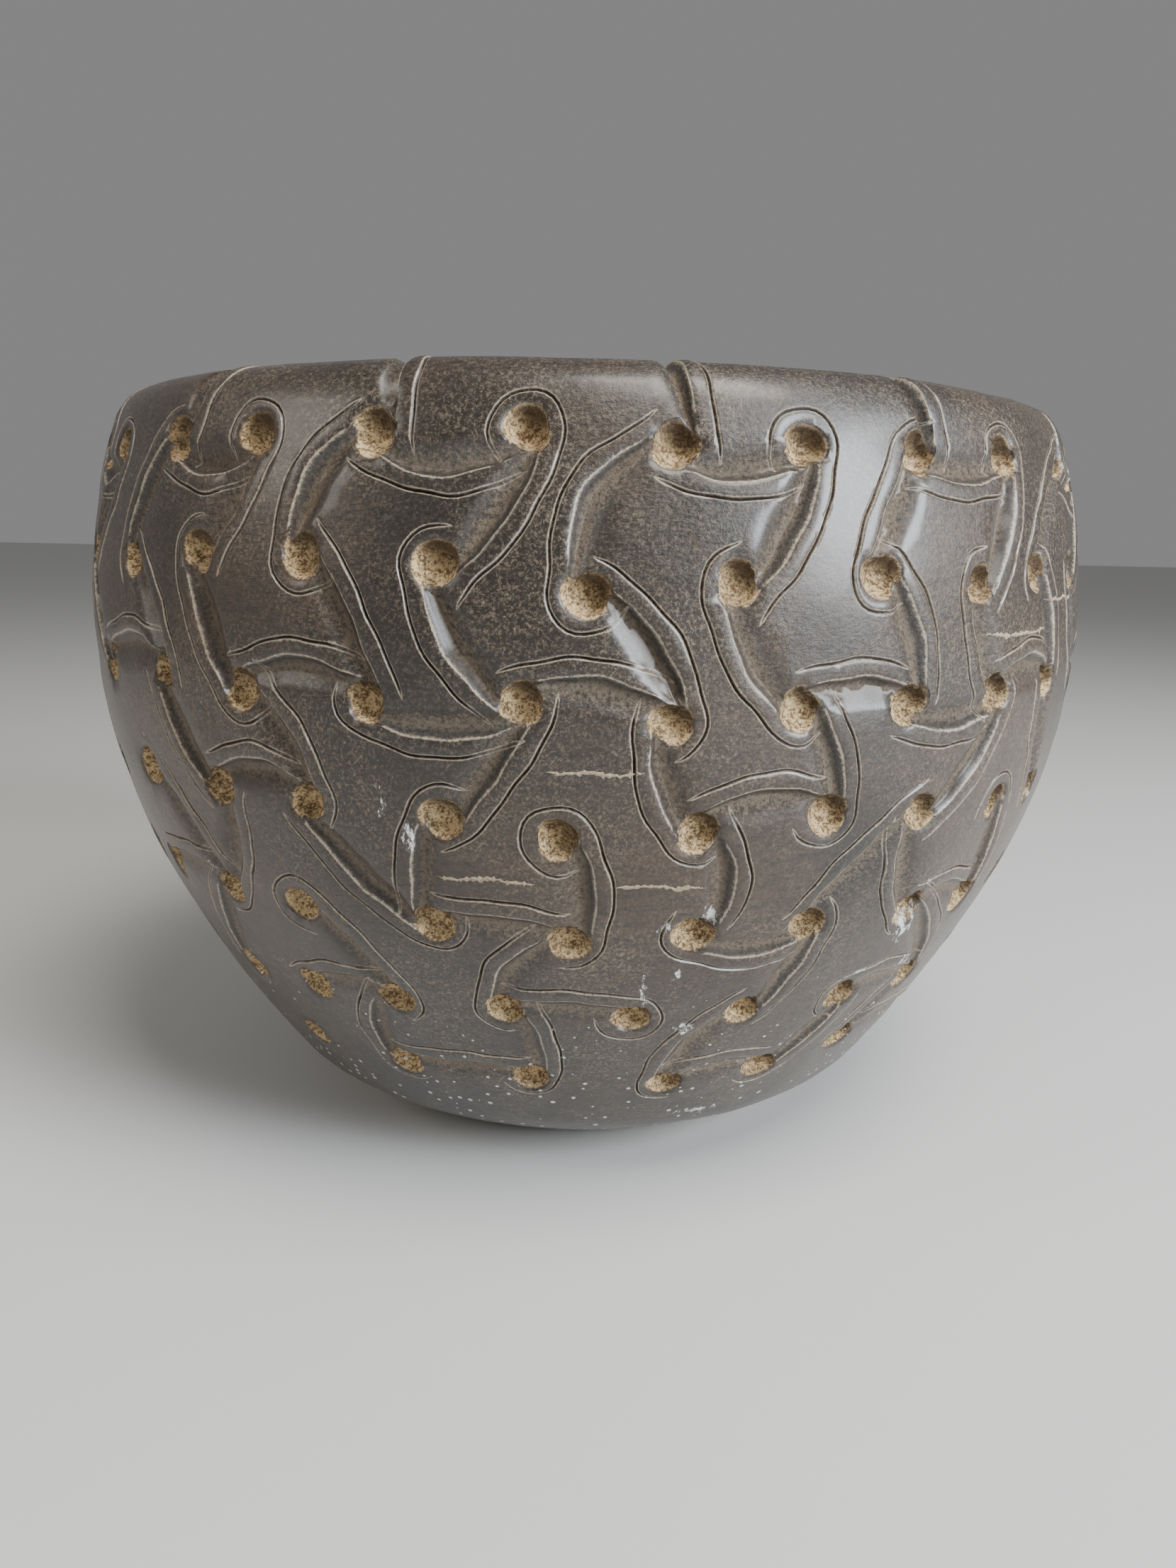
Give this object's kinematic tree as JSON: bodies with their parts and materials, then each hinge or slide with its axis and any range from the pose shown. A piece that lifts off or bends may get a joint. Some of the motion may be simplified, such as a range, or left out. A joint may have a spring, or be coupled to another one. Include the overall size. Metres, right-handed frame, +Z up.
{
  "type": "carved wooden bowl",
  "caption": "Round-bodied hardwood bowl cut from one block, incurved at the rim, with rows of gouged pits outside and a flat base to stand on.",
  "frame": {"origin": "centre of the flat base, on the surface that the bowl stands on", "axes": "+Z up along the bowl's axis; -Y faces the viewer, +X to the viewer's right"},
  "size_m": [0.3198, 0.3198, 0.2259],
  "materials": {
    "carved_wood": "dark stained hardwood, hand burnished to a semi-gloss, raw and rough in the pits",
    "crack_fill": "pale dry wood dust and clay packed in the drying cracks, matt"
  },
  "bodies": {
    "root": {"bowl_body": "carved_wood", "check_filler": "crack_fill"}
  },
  "joints": []
}
